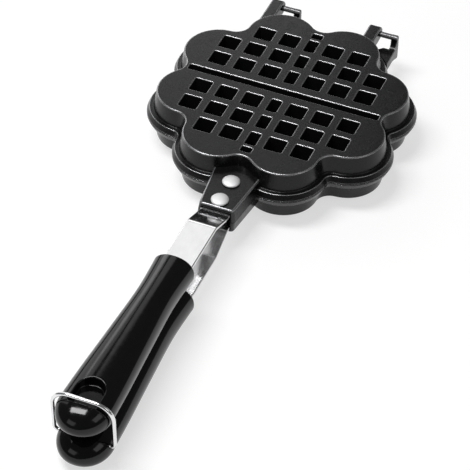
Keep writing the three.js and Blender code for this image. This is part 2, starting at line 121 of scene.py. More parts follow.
# a closed skin over rings of equal count, with flat ends or fans to a tip
def loft(name, rings, startTip=None, endTip=None):
    count = len(rings[0])
    points = [point for ring in rings for point in ring]
    faces = []
    for level in range(len(rings) - 1):
        low = level * count
        for i in range(count):
            j = (i + 1) % count
            faces.append((low + i, low + j, low + count + j, low + count + i))
    for tip, first in ((startTip, 0), (endTip, len(points) - count)):
        edge = range(first, first + count)
        if tip is None:
            faces.append(tuple(edge))
        else:
            points.append(tip)
            faces.extend((first + i, first + (i + 1) % count, len(points) - 1) for i in range(count))
    return newPiece(name, points, faces)


def bake(piece):
    depsgraph = bpy.context.evaluated_depsgraph_get()
    mesh = bpy.data.meshes.new_from_object(piece.evaluated_get(depsgraph))
    piece.modifiers.clear()
    piece.data = mesh
    return piece


def removePieces(*pieces):
    for piece in pieces:
        bpy.data.objects.remove(piece, do_unlink=True)


def combine(piece, tool, operation="DIFFERENCE", keepTool=False):
    modifier = piece.modifiers.new("combine", "BOOLEAN")
    modifier.operation = operation
    modifier.solver = "MANIFOLD"
    modifier.object = tool
    bake(piece)
    if not keepTool:
        removePieces(tool)
    return piece


# points of a path whose corners, given as (x, y, radius), are rounded
def roundedPath(corners, steps=drawing["cornerSteps"], closed=False):
    path = []
    last = len(corners) - 1
    for i, (x, y, radius) in enumerate(corners):
        here = Vector((x, y))
        if radius == 0 or (not closed and i in (0, last)):
            path.append(here)
            continue
        before = (Vector(corners[i - 1][:2]) - here).normalized()
        after = (Vector(corners[(i + 1) % len(corners)][:2]) - here).normalized()
        half = before.angle(after) / 2
        setback = radius / math.tan(half)
        centre = here + (before + after).normalized() * (radius / math.sin(half))
        start = here + before * setback - centre
        end = here + after * setback - centre
        turn = math.pi - 2 * half
        for step in range(steps + 1):
            share = step / steps
            blend = start * math.sin((1 - share) * turn) + end * math.sin(share * turn)
            path.append(centre + blend / math.sin(turn))
    return path


# a path with points added so that no step is longer than a given length
def evenly(path, longest):
    stepped = [path[0]]
    for start, end in zip(path, path[1:]):
        parts = max(math.ceil((end - start).length / longest), 1)
        stepped += [start.lerp(end, i / parts) for i in range(1, parts + 1)]
    return stepped


# a closed outline moved inwards along its normals
def shrunk(outline, inset):
    area = sum(a.x * b.y - b.x * a.y for a, b in zip(outline, outline[1:] + outline[:1]))
    side = 1 if area > 0 else -1
    moved = []
    for i, point in enumerate(outline):
        along = (outline[(i + 1) % len(outline)] - outline[i - 1]).normalized()
        moved.append(point + Vector((-along.y, along.x)) * inset * side)
    return moved


# an outline given a thickness from low to high, with rounded rims, each point placed by a function
def slab(name, outline, low, high, rounding, place):
    steps = drawing["rimSteps"]
    turns = [step / steps * math.pi / 2 for step in range(steps + 1)]
    rings = [(low + rounding * (1 - math.cos(turn)), rounding * (1 - math.sin(turn))) for turn in turns]
    rings += [(low + high - level, inset) for level, inset in reversed(rings)]
    return loft(name, [[place(point, level) for point in shrunk(outline, inset)] for level, inset in rings])


def circle(x, y, radius, sides):
    turns = [2 * math.pi * i / sides for i in range(sides)]
    return [Vector((x + radius * math.cos(turn), y + radius * math.sin(turn))) for turn in turns]


# a body turned about z from (radius, height) points that start and end on the axis
def turned(name, profile, sides, x=0, y=0):
    rings = [[Vector((*point, height)) for point in circle(x, y, radius, sides)]
             for radius, height in profile[1:-1]]
    return loft(name, rings, Vector((x, y, profile[0][1])), Vector((x, y, profile[-1][1])))


def post(name, x, y, radius, low, high):
    return turned(name, [(0, low), (radius, low), (radius, high), (0, high)], drawing["sides"], x, y)


def crossBar(name, left, right, y, z, radius, rounding=hairline):
    return slab(name, circle(y, z, radius, drawing["sides"]), left, right, rounding,
                lambda point, x: Vector((x, point.x, point.y)))


def block(name, low, high):
    (left, near, bottom), (right, far, top) = low, high
    outline = [Vector(corner) for corner in ((left, near), (right, near), (right, far), (left, far))]
    return slab(name, outline, bottom, top, hairline, lambda point, z: Vector((point.x, point.y, z)))


# a finished body set into the frame: smooth where its faces nearly agree, sharp elsewhere
def settle(piece, lower=False):
    mesh = piece.data
    scale = drawing["metresPerUnit"]
    flip = -1 if lower else 1
    mesh.transform(
        Matrix.Translation((0, -drawing["landCentre"] * scale, drawing["halfHeight"] * scale))
        @ Matrix.Diagonal((scale, scale, scale * flip, 1))
    )
    shape = bmesh.new()
    shape.from_mesh(mesh)
    bmesh.ops.remove_doubles(shape, verts=shape.verts, dist=drawing["mergeWithin"])
    bmesh.ops.dissolve_degenerate(shape, edges=shape.edges, dist=drawing["dissolveWithin"])
    bmesh.ops.recalc_face_normals(shape, faces=shape.faces)
    shape.to_mesh(mesh)
    shape.free()
    mesh.polygons.foreach_set("use_smooth", [True] * len(mesh.polygons))
    mesh.set_sharp_from_angle(angle=math.radians(drawing["sharpAngle"]))
    weights = piece.modifiers.new("weights", "WEIGHTED_NORMAL")
    weights.keep_sharp = True
    return bake(piece)


# marks each face with how sharply it rounds outwards, per millimetre, for a painted highlight: rounded
# edges that stand up or down get a light metal colour that shows as thin bright lines; creases and upright
# corners stay plain coat
def markPaintedHighlights(piece):
    shape = bmesh.new()
    shape.from_mesh(piece.data)
    layer = shape.faces.layers.float.new("paintedHighlight")
    low, high = coatLook["highlightBendFrom"], coatLook["highlightBendTo"]
    for face in shape.faces:
        bends = [(edge.calc_face_angle_signed(0), edge.calc_length()) for edge in face.edges]
        turn = sum(angle * length for angle, length in bends if abs(angle) < coatLook["crease"])
        bend = turn / (2 * face.calc_area()) * drawing["metresPerUnit"]
        upright = min(abs(face.normal.z) / coatLook["uprightTo"], 1)
        face[layer] = min(max((bend - low) / (high - low), 0), 1) * upright
    shape.to_mesh(piece.data)
    shape.free()


def dress(piece, body, slot, material, *nodes):
    piece.data.materials.clear()
    piece.data.materials.append(material)
    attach(piece, body)
    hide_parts(*nodes)
    print("piece", piece.name, len(piece.data.polygons), "faces")


# an sRGB hex code as linear light
def colour(code):
    channels = [int(code[i:i + 2], 16) / 255 for i in (1, 3, 5)]
    linear = [c / 12.92 if c <= 0.04045 else ((c + 0.055) / 1.055) ** 2.4 for c in channels]
    return (*linear, 1)


# adds a node; a setting or link that names an input goes to it, any other setting is the node's own
def addNode(tree, kind, settings=None, links=None):
    node = tree.nodes.new(kind)
    for key, value in (settings or {}).items():
        if isinstance(key, int) or key in node.inputs:
            node.inputs[key].default_value = value
        else:
            setattr(node, key, value)
    for key, source in (links or {}).items():
        tree.links.new(source, node.inputs[key])
    return node


# the scale of a noise whose features are this many millimetres wide
def perMillimetres(size):
    return 1 / (size * drawing["metresPerUnit"])


def startMaterial(name):
    material = bpy.data.materials.new(name)
    material.use_nodes = True
    tree = material.node_tree
    tree.nodes.clear()
    return material, tree


def finishMaterial(tree, shader):
    addNode(tree, "ShaderNodeOutputMaterial", links={"Surface": shader.outputs[0]})


# Non-stick coat: PTFE sprayed on die-cast aluminium and baked. A satin charcoal with the fine
# orange peel of the spray, faint clouds of thicker coat and small smoother patches, with a painted
# highlight: rounded edges are given a light metal colour that shows as thin bright lines.
coatLook = {
    "thinCoat": "#111112",
    "thickCoat": "#09090a",
    # painted highlight: the light metal colour on rounded edges, and how strongly it shows
    "highlightMetal": "#a2a2a4",
    "highlightBendFrom": 0.35,
    "highlightBendTo": 0.8,
    "crease": 0.6,
    "uprightTo": 0.4,
    "faintestHighlight": 0.7,
    "strongestHighlight": 0.95,
    "highlightNoise": (0.35, 0.6),
    "cloudSize": 16,
    "cloudDetail": 3,
    "patchSize": 5,
    "patchDetail": 4,
    "patchNoise": (0.3, 0.7),
    "peelSize": 0.7,
    "peelDetail": 2,
    "peelDepth": 0.00004,
    "peelStrength": 0.8,
    "smoothest": 0.2,
    "roughest": 0.31,
    "ior": 1.35,
}


def makeCoat():
    look = coatLook
    material, tree = startMaterial("sprayedNonStickCoat")
    place = addNode(tree, "ShaderNodeTexCoord").outputs["Object"]
    clouds = addNode(tree, "ShaderNodeTexNoise", {
        "Scale": perMillimetres(look["cloudSize"]), "Detail": look["cloudDetail"]}, {"Vector": place})
    patches = addNode(tree, "ShaderNodeTexNoise", {
        "Scale": perMillimetres(look["patchSize"]), "Detail": look["patchDetail"]}, {"Vector": place})
    peel = addNode(tree, "ShaderNodeTexNoise", {
        "Scale": perMillimetres(look["peelSize"]), "Detail": look["peelDetail"]}, {"Vector": place})
    tone = addNode(tree, "ShaderNodeMix", {
        "data_type": "RGBA", 6: colour(look["thickCoat"]), 7: colour(look["thinCoat"])},
        {0: clouds.outputs[0]})
    rough = addNode(tree, "ShaderNodeMapRange", {
        "From Min": look["patchNoise"][0], "From Max": look["patchNoise"][1],
        "To Min": look["smoothest"], "To Max": look["roughest"]}, {"Value": patches.outputs[0]})
    bump = addNode(tree, "ShaderNodeBump", {
        "Distance": look["peelDepth"], "Strength": look["peelStrength"]}, {"Height": peel.outputs[0]})
    # painted highlight: the marked edges take a light metal colour, broken up by the patch noise
    edges = addNode(tree, "ShaderNodeAttribute", {"attribute_name": "paintedHighlight"})
    highlightStrength = addNode(tree, "ShaderNodeMapRange", {
        "From Min": look["highlightNoise"][0], "From Max": look["highlightNoise"][1],
        "To Min": look["faintestHighlight"], "To Max": look["strongestHighlight"]}, {"Value": patches.outputs[0]})
    share = addNode(tree, "ShaderNodeMath", {"operation": "MULTIPLY"},
                    {0: edges.outputs["Fac"], 1: highlightStrength.outputs[0]})
    toneWithHighlight = addNode(tree, "ShaderNodeMix", {"data_type": "RGBA", 7: colour(look["highlightMetal"])},
                   {0: share.outputs[0], 6: tone.outputs[2]})
    shader = addNode(tree, "ShaderNodeBsdfPrincipled", {"IOR": look["ior"]}, {
        "Base Color": toneWithHighlight.outputs[2], "Metallic": share.outputs[0],
        "Roughness": rough.outputs[0], "Normal": bump.outputs[0]})
    finishMaterial(tree, shader)
    return material


# Phenolic: thermoset moulded in a polished die. Deep gloss black whose reflections waver a little
# from sink in the thick moulding, with a haze of fine handling marks.
phenolicLook = {
    "body": "#040405",
    "dusty": "#0a0a0b",
    "sinkSize": 14,
    "sinkDetail": 1,
    "sinkDepth": 0.0001,
    "sinkStrength": 0.35,
    "hazeSize": 3,
    "hazeDetail": 5,
    "hazeNoise": (0.35, 0.7),
    "smoothest": 0.09,
    "roughest": 0.15,
    "ior": 1.6,
    "reflection": 0.25,
}


def makePhenolic():
    look = phenolicLook
    material, tree = startMaterial("mouldedPhenolic")
    place = addNode(tree, "ShaderNodeTexCoord").outputs["Object"]
    sink = addNode(tree, "ShaderNodeTexNoise", {
        "Scale": perMillimetres(look["sinkSize"]), "Detail": look["sinkDetail"]}, {"Vector": place})
    haze = addNode(tree, "ShaderNodeTexNoise", {
        "Scale": perMillimetres(look["hazeSize"]), "Detail": look["hazeDetail"]}, {"Vector": place})
    tone = addNode(tree, "ShaderNodeMix", {
        "data_type": "RGBA", 6: colour(look["body"]), 7: colour(look["dusty"])}, {0: haze.outputs[0]})
    rough = addNode(tree, "ShaderNodeMapRange", {
        "From Min": look["hazeNoise"][0], "From Max": look["hazeNoise"][1],
        "To Min": look["smoothest"], "To Max": look["roughest"]}, {"Value": haze.outputs[0]})
    bump = addNode(tree, "ShaderNodeBump", {
        "Distance": look["sinkDepth"], "Strength": look["sinkStrength"]}, {"Height": sink.outputs[0]})
    shader = addNode(tree, "ShaderNodeBsdfPrincipled",
                     {"IOR": look["ior"], "Specular IOR Level": look["reflection"]},
                     {"Base Color": tone.outputs[2], "Roughness": rough.outputs[0],
                      "Normal": bump.outputs[0]})
    finishMaterial(tree, shader)
    return material


# Metals: the grain that the working left, stretched along the run of the piece, over faint stains
metalNoise = {"grainDetail": 3, "grainStrength": 0.5, "grainNoise": (0.3, 0.7), "stainDetail": 2}


def makeMetal(name, look):
    material, tree = startMaterial(name)
    place = addNode(tree, "ShaderNodeTexCoord").outputs["Object"]
    stretched = addNode(tree, "ShaderNodeMapping", {"Scale": look["stretch"]}, {"Vector": place})
    grain = addNode(tree, "ShaderNodeTexNoise", {
        "Scale": perMillimetres(look["grainSize"]), "Detail": metalNoise["grainDetail"]},
        {"Vector": stretched.outputs[0]})
    stain = addNode(tree, "ShaderNodeTexNoise", {
        "Scale": perMillimetres(look["stainSize"]), "Detail": metalNoise["stainDetail"]}, {"Vector": place})
    tone = addNode(tree, "ShaderNodeMix", {
        "data_type": "RGBA", 6: colour(look["dull"]), 7: colour(look["bright"])}, {0: stain.outputs[0]})
    rough = addNode(tree, "ShaderNodeMapRange", {
        "From Min": metalNoise["grainNoise"][0], "From Max": metalNoise["grainNoise"][1],
        "To Min": look["smoothest"], "To Max": look["roughest"]}, {"Value": grain.outputs[0]})
    bump = addNode(tree, "ShaderNodeBump", {
        "Distance": look["grainDepth"], "Strength": metalNoise["grainStrength"]},
        {"Height": grain.outputs[0]})
    shader = addNode(tree, "ShaderNodeBsdfPrincipled", {"Metallic": 1}, {
        "Base Color": tone.outputs[2], "Roughness": rough.outputs[0], "Normal": bump.outputs[0]})
    finishMaterial(tree, shader)
    return material


# Stainless strip, cold rolled: satin, with long faint lines along the strip, drawn coarser than real
stripLook = {"bright": "#dddddd", "dull": "#d1d1d2", "stainSize": 9, "grainSize": 0.35,
             "grainDepth": 0.000002, "stretch": (1, 0.06, 1), "smoothest": 0.1, "roughest": 0.17}
# Aluminium rivets, headed cold: soft satin white with fine press marks
rivetLook = {"bright": "#f2f2f2", "dull": "#e6e6e7", "stainSize": 3, "grainSize": 0.5,
             "grainDepth": 0.00001, "stretch": (1, 1, 1), "smoothest": 0.6, "roughest": 0.7}
# Wire and screws, nickel plated over drawn steel: a bright even gloss with faint drawing marks
platedLook = {"bright": "#ececed", "dull": "#dededf", "stainSize": 6, "grainSize": 2.5,
              "grainDepth": 0.000001, "stretch": (1, 1, 1), "smoothest": 0.14, "roughest": 0.2}

coatMaterial = makeCoat()
phenolicMaterial = makePhenolic()
stripMaterial = makeMetal("coldRolledStainless", stripLook)
rivetMaterial = makeMetal("headedAluminium", rivetLook)
platedMaterial = makeMetal("nickelPlatedSteel", platedLook)
print("materials made")


# a geometry tree with named inputs; gives the tree and the inputs' sockets
def startTree(name, inputs):
    tree = bpy.data.node_groups.new(name, "GeometryNodeTree")
    for label, kind in inputs:
        tree.interface.new_socket(label, in_out="INPUT", socket_type="NodeSocket" + kind)
    tree.interface.new_socket("Geometry", in_out="OUTPUT", socket_type="NodeSocketGeometry")
    return tree, addNode(tree, "NodeGroupInput").outputs


# the rest of a tree: its piece set on points, made real and given its finish
def endTree(tree, given, links):
    piece = addNode(tree, "GeometryNodeObjectInfo", links={"Object": given["Piece"]})
    links["Instance"] = piece.outputs["Geometry"]
    setPieces = addNode(tree, "GeometryNodeInstanceOnPoints", links=links)
    real = addNode(tree, "GeometryNodeRealizeInstances", links={"Geometry": setPieces.outputs["Instances"]})
    finished = addNode(tree, "GeometryNodeSetMaterial", links={
        "Geometry": real.outputs["Geometry"], "Material": given["Finish"]})
    addNode(tree, "NodeGroupOutput", links={"Geometry": finished.outputs["Geometry"]})
    return tree


# a piece set on every point of a mesh
def makeSetter():
    tree, given = startTree("setOnPoints", (
        ("Points", "Geometry"), ("Piece", "Object"), ("Piece Size", "Float"), ("Finish", "Material")))
    tree.interface.items_tree["Piece Size"].default_value = 1
    return endTree(tree, given, {"Points": given["Points"], "Scale": given["Piece Size"]})


# a row of pieces, from a first place at a pitch
def makeRow():
    tree, given = startTree("rowOfPieces", (
        ("Geometry", "Geometry"), ("Piece", "Object"), ("Count", "Int"), ("First Place", "Vector"),
        ("Pitch", "Vector"), ("Finish", "Material")))
    line = addNode(tree, "GeometryNodeMeshLine", links={
        "Count": given["Count"], "Start Location": given["First Place"], "Offset": given["Pitch"]})
    return endTree(tree, given, {"Points": line.outputs["Mesh"]})


setter = makeSetter()
row = makeRow()


# runs a tree on a piece with values for its named inputs
def runTree(piece, tree, values):
    modifier = piece.modifiers.new(tree.name, "NODES")
    modifier.node_group = tree
    for item in tree.interface.items_tree:
        if item.in_out == "INPUT" and item.name in values:
            modifier[item.identifier] = values[item.name]
    return bake(piece)


# outline: eight round lobes joined by hollow notches
flower = {"lobes": 8, "tipRadius": 72.2, "lobeRadius": 20.7, "notchRadius": 8.6,
          "lobeSteps": 20, "notchSteps": 9}
lobeTurn = math.pi / flower["lobes"]
lobeCentre = flower["tipRadius"] - flower["lobeRadius"]
lobeSide = lobeCentre * math.sin(lobeTurn)
notchCentre = lobeCentre * math.cos(lobeTurn) + math.sqrt(
    (flower["lobeRadius"] + flower["notchRadius"]) ** 2 - lobeSide ** 2)


# the outline moved outwards by an offset
def flowerRing(offset, z):
    notchX = notchCentre * math.cos(lobeTurn)
    notchY = notchCentre * math.sin(lobeTurn)
    swing = math.atan2(notchY, notchX - lobeCentre)
    lobeSteps, notchSteps = flower["lobeSteps"], flower["notchSteps"]
    local = []
    for step in range(lobeSteps):
        angle = swing * (2 * step / lobeSteps - 1)
        reach = flower["lobeRadius"] + offset
        local.append((lobeCentre + reach * math.cos(angle), reach * math.sin(angle)))
    for step in range(notchSteps):
        angle = math.pi + swing + (2 * lobeTurn - 2 * swing) * step / notchSteps
        reach = flower["notchRadius"] - offset
        local.append((notchX + reach * math.cos(angle), notchY + reach * math.sin(angle)))
    ring = []
    for i in range(flower["lobes"]):
        turn = lobeTurn * (1 + 2 * i)
        for x, y in local:
            ring.append(Vector((x * math.cos(turn) - y * math.sin(turn),
                                x * math.sin(turn) + y * math.cos(turn), z)))
    return ring


# sections of the casting's outside and cavity, as (offset from the outline, height, radius)
casting = {
    "seam": 0.15,
    "outside": [(-40, 0.15, 0), (5.5, 0.15, 0.12), (5.5, 0.9, 0.3), (4.1, 4, 0.45), (1.53, 4, 0.8),
                (-0.18, 15.2, 0.8), (-6, 15.2, 0)],
    "cavity": [(-1.1, -2, 0), (-1.1, 0.15, 0), (-2.68, 12.6, 1.6), (-9, 12.6, 0)],
    "base": 12.6,
}

# pockets and the pegs behind them, and the groove with its rib
pattern = {
    "pitch": 15.7,
    "size": 11,
    "narrowWidth": 6.6,
    "firstColumn": 13.5,
    "firstRow": 13.7,
    "triedRows": 5,
    "endRow": 55,
    "endLength": 4.5,
    "rimLand": 3,
    "pocketDraft": 0.2,
    "pocketFloor": 5.8,
    "pegWall": 1.25,
    "pegGap": 3.8,
    "grooveWidth": 4.6,
    "grooveEndLand": 2.36,
    "grooveDraft": 0.12,
    "grooveFloor": 3.5,
    "ribWall": 1.3,
    "ribGap": 1.5,
    "mouthRadius": 0.6,
    "cornerRadius": 0.9,
    "floorRadius": 0.9,
    "cornerSteps": 3,
    "cornerLimit": 0.6,  # of half the shorter side
    "pegCornerRadius": 1.7,
    "tipRadius": 0.7,
    "footRadius": 0.9,
    "pegSteps": 4,
    "lead": 3,  # of a section before its first and after its last corner
}

# tang: tapers in plan, with a channel under it for the strip
tang = {"root": 58, "end": 98, "rootWidth": 29.8, "endWidth": 20, "height": 8, "draft": 1, "rounding": 1,
        "cornerRadius": 2, "capInset": 4, "channelStart": 70, "channelWidth": 17.8, "channelTop": 5.6}

# hinges: a bored lug on the upper half, a hooked arm on an ear on the lower half
hinge = {
    "fromLobeSide": 11.29,
    "root": 56,
    "reach": 82,
    "height": 7.5,
    "lugStart": -8.4,
    "lugWidth": 7.6,
    "knuckleRadius": 4.1,
    "lugRounding": 0.9,
    "lugSteps": 10,
    "hookRadius": 1.7,
    "hookRounding": 0.45,
    "boreRadius": 2,
    "armEnd": 10.4,
    "armThickness": 4,
    "armDepth": 3.6,
    "armFillet": 4,
    "armRounding": 0.6,
    "armSteps": 7,
    "heelDrop": 7.7,
    "heelFillet": 3,
    "heelChamfer": 1.2,
    "heelRadius": 0.7,
    "earStart": -1,
    "earReach": 78,
    "earHeight": 1.6,
    "earDepth": 4,
    "earInset": 0.3,
    "earCornerRadius": 1,
    "earChamfer": 4,
    "earChamferRadius": 1.5,
    "lidRoom": 6.1,
    "lidRoomTop": 20,
}
hingePlaces = [side * (lobeSide + hinge["fromLobeSide"]) for side in (-1, 1)]

rivets = {"count": 2, "first": 76.5, "pitch": 16.1, "headRadius": 5, "headHeight": 2, "rim": 0.5,
          "headChamfer": 0.15, "shaftRadius": 2.3, "tailRadius": 3.9, "tailHeight": 0.75,
          "tailChamfer": 0.3, "headBase": 8.3, "tailTop": 3, "domeSteps": 12, "around": 48}


def rectangleRing(halfX, halfY, z, radius):
    limit = min(radius, min(halfX, halfY) * pattern["cornerLimit"])
    corners = [(-halfX, -halfY, limit), (halfX, -halfY, limit), (halfX, halfY, limit), (-halfX, halfY, limit)]
    return [Vector((*point, z)) for point in roundedPath(corners, pattern["cornerSteps"], closed=True)]


# a body over rectangles that follow a section of (growth, height), carried on to a height past its end
def rectangleBody(name, width, length, section, top, radiusAt):
    levels = [(point.x, point.y) for point in section[1:-1]]
    levels.append((levels[-1][0] + 2 * hairline, top))
    return loft(name, [rectangleRing(width / 2 + grow, length / 2 + grow, z, radiusAt(grow))
                       for grow, z in levels])


# a cutter for a pocket or groove: drafted walls, a rounded mouth and a fillet at the floor
def pocketCutter(name, width, length, draft, floor):
    top, lead = drawing["halfHeight"], pattern["lead"]
    section = roundedPath([
        (-lead, floor, 0),
        (-(top - floor) * draft, floor, pattern["floorRadius"]),
        (0, top + hairline, pattern["mouthRadius"]),
        (lead, top + hairline, 0),
    ])
    return rectangleBody(name, width, length, section, top + overrun,
                         lambda grow: pattern["cornerRadius"] + max(grow, 0))


# a peg or rib as it stands in the cavity: rounded tip edges and a fillet where it meets the base
def pegBody(name, width, length, draft, wall, gap):
    top, base, lead = drawing["halfHeight"], casting["base"], pattern["lead"]
    tip = wall - (top - gap) * draft
    foot = wall - (top - base) * draft
    section = roundedPath([
        (tip - lead, gap, 0),
        (tip, gap, pattern["tipRadius"]),
        (foot, base + hairline, pattern["footRadius"]),
        (foot + lead, base + hairline, 0),
    ], pattern["pegSteps"])
    return rectangleBody(name, width, length, section, base + overrun,
                         lambda grow: pattern["pegCornerRadius"])


# whether a place lies inside the outline moved by an offset
def insideOutline(x, y, offset):
    ring = flowerRing(offset, 0)
    crossed = 0
    for a, b in zip(ring, ring[1:] + ring[:1]):
        if (a.y > y) != (b.y > y) and x < a.x + (y - a.y) / (b.y - a.y) * (b.x - a.x):
            crossed += 1
    return crossed % 2 == 1


# places of the pockets that leave a land at the rim, sorted by their width and length
def pocketPlaces():
    size, narrow = pattern["size"], pattern["narrowWidth"]
    places = {(size, size): [], (narrow, size): [], (narrow, pattern["endLength"]): [(0, pattern["endRow"])]}
    steps = [i * pattern["pitch"] for i in range(pattern["triedRows"])]
    for y in (pattern["firstRow"] + step for step in steps):
        places[(narrow, size)].append((0, y))
        for x in (pattern["firstColumn"] + step for step in steps):
            places[(size, size)] += [(x, y), (-x, y)]
    fitting = {}
    for (width, length), found in places.items():
        kept = [(x, y) for x, y in found if all(
            insideOutline(abs(x) + width / 2, edge, -pattern["rimLand"])
            for edge in (y - length / 2, y + length / 2))]
        fitting[(width, length)] = kept + [(x, -y) for x, y in kept]
    return fitting


# one body for each pocket of the pattern, made by a function of width and length
def onPattern(name, makeOne):
    groups = []
    for i, ((width, length), places) in enumerate(pocketPlaces().items()):
        master = makeOne(f"{name}Master{i}", width, length)
        points = newPiece(f"{name}{i}", [Vector((x, y, 0)) for x, y in places], [])
        groups.append(runTree(points, setter, {"Piece": master, "Piece Size": 1.0, "Finish": coatMaterial}))
        removePieces(master)
    return groups


def tangRing(grow, z):
    root, end = tang["rootWidth"] / 2 + grow, tang["endWidth"] / 2 + grow
    reach = tang["end"] + grow
    corners = [(-root, -tang["root"], 0), (-end, -reach, tang["cornerRadius"]),
               (end, -reach, tang["cornerRadius"]), (root, -tang["root"], 0)]
    return [Vector((*point, z)) for point in roundedPath(corners)]


def tangBody():
    section = roundedPath([(tang["draft"], casting["seam"], 0), (0, tang["height"], tang["rounding"]),
                           (-tang["capInset"], tang["height"], 0)])
    return loft("tangBody", [tangRing(point.x, point.y) for point in section])


def lug(place):
    low, high = hinge["height"] - hinge["knuckleRadius"], hinge["height"] + hinge["knuckleRadius"]
    tip = hinge["reach"] + hinge["knuckleRadius"]
    radius = hinge["knuckleRadius"] - hairline
    outline = roundedPath([(hinge["root"], low, 0), (tip, low, radius), (tip, high, radius),
                           (hinge["root"], high, 0)], hinge["lugSteps"], closed=True)
    left = place + hinge["lugStart"]
    return slab("lug", outline, left, left + hinge["lugWidth"], hinge["lugRounding"],
                lambda point, x: Vector((x, point.x, point.y)))


# the lower half's hinge parts are drawn upside down here, as their half is, and turned at the end
def armParts(place):
    back, front = hinge["reach"] + hinge["armDepth"] / 2, hinge["reach"] - hinge["armDepth"] / 2
    crown = hinge["height"] + hinge["armDepth"] / 2
    crownRadius = hinge["armDepth"] / 2 - hairline
    side = roundedPath([
        (hinge["root"], -casting["seam"], 0),
        (hinge["root"], -hinge["earDepth"], 0),
        (hinge["earReach"] - hinge["armFillet"], -hinge["earDepth"], hinge["heelFillet"]),
        (back - hinge["heelChamfer"], -hinge["heelDrop"], hinge["heelRadius"]),
        (back, hinge["heelChamfer"] - hinge["heelDrop"], hinge["heelRadius"]),
        (back, crown, crownRadius),
        (front, crown, crownRadius),
        (front, hinge["earHeight"], hinge["armFillet"]),
        (hinge["root"], hinge["earHeight"], 0),
    ], hinge["armSteps"], closed=True)
    right = place + hinge["armEnd"]
    arm = slab("arm", side, right - hinge["armThickness"], right, hinge["armRounding"],
               lambda point, x: Vector((x, point.x, -point.y)))
    left, inset = place + hinge["earStart"], right - hinge["earInset"]
    shelf = roundedPath([
        (left, hinge["root"], 0),
        (inset, hinge["root"], 0),
        (inset, hinge["earReach"], hinge["earCornerRadius"]),
        (left + hinge["earChamfer"], hinge["earReach"], hinge["earChamferRadius"]),
        (left, hinge["earReach"] - hinge["earChamfer"], hinge["earChamferRadius"]),
    ], closed=True)
    ear = slab("ear", shelf, -hinge["earHeight"], hinge["earDepth"] - 2 * hairline, hinge["armRounding"],
               lambda point, z: Vector((point.x, point.y, z)))
    room = loft("lidRoom", [flowerRing(hinge["lidRoom"], z) for z in (casting["seam"], -hinge["lidRoomTop"])])
    combine(arm, room, keepTool=True)
    combine(ear, room)
    hook = crossBar("hook", place + hinge["lugStart"], right - hinge["armThickness"] / 2, hinge["reach"],
                    -hinge["height"], hinge["hookRadius"], hinge["hookRounding"])
    return [arm, ear, hook]


# one cast half: outside, tang and hinge parts, then the cavity with its pegs, the pockets and the channel
def castHalf(name, hingeParts):
    body = loft(name, [flowerRing(point.x, point.y) for point in roundedPath(casting["outside"])[1:]])
    combine(body, tangBody(), "UNION")
    for part in hingeParts:
        combine(body, part, "UNION")
    cavity = loft("cavity", [flowerRing(point.x, point.y) for point in roundedPath(casting["cavity"])])
    pegs = onPattern("peg", lambda label, width, length: pegBody(
        label, width, length, pattern["pocketDraft"], pattern["pegWall"], pattern["pegGap"]))
    rib = pegBody("rib", 2 * flower["tipRadius"], pattern["grooveWidth"], pattern["grooveDraft"],
                  pattern["ribWall"], pattern["ribGap"])
    for peg in pegs + [rib]:
        combine(cavity, peg)
    combine(body, cavity)
    pockets = onPattern("pocket", lambda label, width, length: pocketCutter(
        label, width, length, pattern["pocketDraft"], pattern["pocketFloor"]))
    grooveLength = 2 * (notchCentre - flower["notchRadius"] - pattern["grooveEndLand"])
    groove = pocketCutter("groove", grooveLength, pattern["grooveWidth"], pattern["grooveDraft"],
                          pattern["grooveFloor"])
    for pocket in pockets + [groove]:
        combine(body, pocket)
    half = tang["channelWidth"] / 2
    combine(body, block("channel", (-half, -tang["end"] - 2 * overrun, -overrun),
                        (half, -tang["channelStart"], tang["channelTop"])))
    return boreForRivets(body, tang["height"] + overrun)


def boreForRivets(body, top):
    for i in range(rivets["count"]):
        place = rivets["first"] + i * rivets["pitch"]
        combine(body, post("rivetBore", 0, -place, rivets["shaftRadius"] + clearance, 0, top))
    return body


def makePlates():
    upper = castHalf("upperCasting", [lug(place) for place in hingePlaces])
    for place in hingePlaces:
        left = place + hinge["lugStart"] - overrun
        right = left + hinge["lugWidth"] + 2 * overrun
        combine(upper, crossBar("lugBore", left, right, hinge["reach"], hinge["height"], hinge["boreRadius"]))
    settle(upper)
    markPaintedHighlights(upper)
    dress(upper, "upper_half", "coated_aluminium", coatMaterial, "upper_plate")
    lower = castHalf("lowerCasting", [part for place in hingePlaces for part in armParts(place)])
    settle(lower, lower=True)
    markPaintedHighlights(lower)
    dress(lower, "lower_half", "coated_aluminium", coatMaterial, "lower_plate")


makePlates()
print("plates cast")


# the two halves' names, and whether a half is the lower one
halves = (("upper", False), ("lower", True))

# shanks: flat strip with rounded edges, bent away from the tang to the middle of the grip
strip = {"width": 17.2, "thickness": 2, "edgeRadius": 0.6, "edgeSteps": 4, "start": 70.3, "bendStart": 101,
         "bendEnd": 117.5, "end": 226.4, "level": 4.3, "bendRadius": 6, "bendSteps": 10, "gripOffset": 10.8,
         "screwPlace": 200, "screwBore": 1.8, "boreTop": 20}


def makeStrip(name):
    path = roundedPath([
        (-strip["start"], strip["level"], 0),
        (-strip["bendStart"], strip["level"], strip["bendRadius"]),
        (-strip["bendEnd"], strip["gripOffset"], strip["bendRadius"]),
        (-strip["end"], strip["gripOffset"], 0),
    ], strip["bendSteps"])
    halfX, halfZ, radius = strip["width"] / 2, strip["thickness"] / 2, strip["edgeRadius"]
    section = roundedPath([(-halfX, -halfZ, radius), (halfX, -halfZ, radius), (halfX, halfZ, radius),
                           (-halfX, halfZ, radius)], strip["edgeSteps"], closed=True)
    rings = []
    for i, point in enumerate(path):
        along = (path[min(i + 1, len(path) - 1)] - path[max(i - 1, 0)]).normalized()
        normal = Vector((along.y, -along.x))
        rings.append([Vector((p.x, point.x + normal.x * p.y, point.y + normal.y * p.y)) for p in section])
    body = boreForRivets(loft(name, rings), strip["boreTop"])
    return combine(body, post("screwBore", 0, -strip["screwPlace"], strip["screwBore"], 0, strip["boreTop"]))


